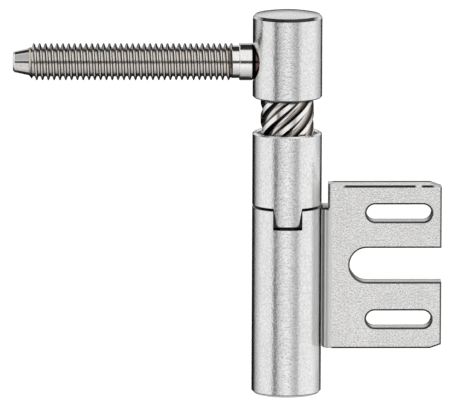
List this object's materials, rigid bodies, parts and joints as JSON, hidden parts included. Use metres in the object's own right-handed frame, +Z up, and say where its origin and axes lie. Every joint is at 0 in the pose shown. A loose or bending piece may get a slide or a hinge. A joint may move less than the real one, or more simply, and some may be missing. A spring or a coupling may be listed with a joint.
{
  "type": "rising drill-in door hinge",
  "caption": "Rising door hinge: drill-in shank and head on a steep multi-start spindle, keyed sleeve, and frame knuckle with a welded slotted plate.",
  "frame": {"origin": "centre of the frame knuckle's foot, on the hinge axis", "axes": "+Z up the hinge axis from the knuckle to the head, +X towards the frame plate with the shank along -X, +Y away from the side on which the plate lies nearest"},
  "size_m": [0.0924, 0.015, 0.0834],
  "materials": {
    "plated_knuckle": "bright zinc plating, fine satin grain",
    "plated_plate": "zinc plated, matt and grainy",
    "weld_metal": "plated weld bead",
    "plated_thread": "zinc plated rolled thread",
    "bright_spindle": "bright, smooth and oiled",
    "dark_polymer": "moulded, smooth",
    "pale_polymer": "moulded, smooth"
  },
  "bodies": {
    "frame_part": {"frame_knuckle": "plated_knuckle", "frame_plate": "plated_plate", "weld_beads": "weld_metal"},
    "sleeve_part": {"knuckle_sleeve": "plated_knuckle", "thread_nut": "dark_polymer"},
    "guide_part": {"pin_guide": "pale_polymer"},
    "door_part": {"hinge_head": "plated_knuckle", "drill_in_shank": "plated_thread", "rising_spindle": "bright_spindle"}
  },
  "joints": [
    {"name": "lift_off", "type": "slide", "parent": "frame_part", "child": "sleeve_part", "axis": [0, 0, 1], "range_m": [0, 0.04]},
    {"name": "door_rise", "type": "slide", "parent": "sleeve_part", "child": "guide_part", "axis": [0, 0, 1], "range_m": [-0.0075, 0.0075]},
    {"name": "door_swing", "type": "hinge", "parent": "guide_part", "child": "door_part", "pos_m": [0, 0, 0.0646], "axis": [0, 0, 1], "range_deg": [-90, 90]}
  ],
  "couplings": [
    {"joint": "door_rise", "follows": "door_swing", "m_per_rad": 0.0047746}
  ]
}
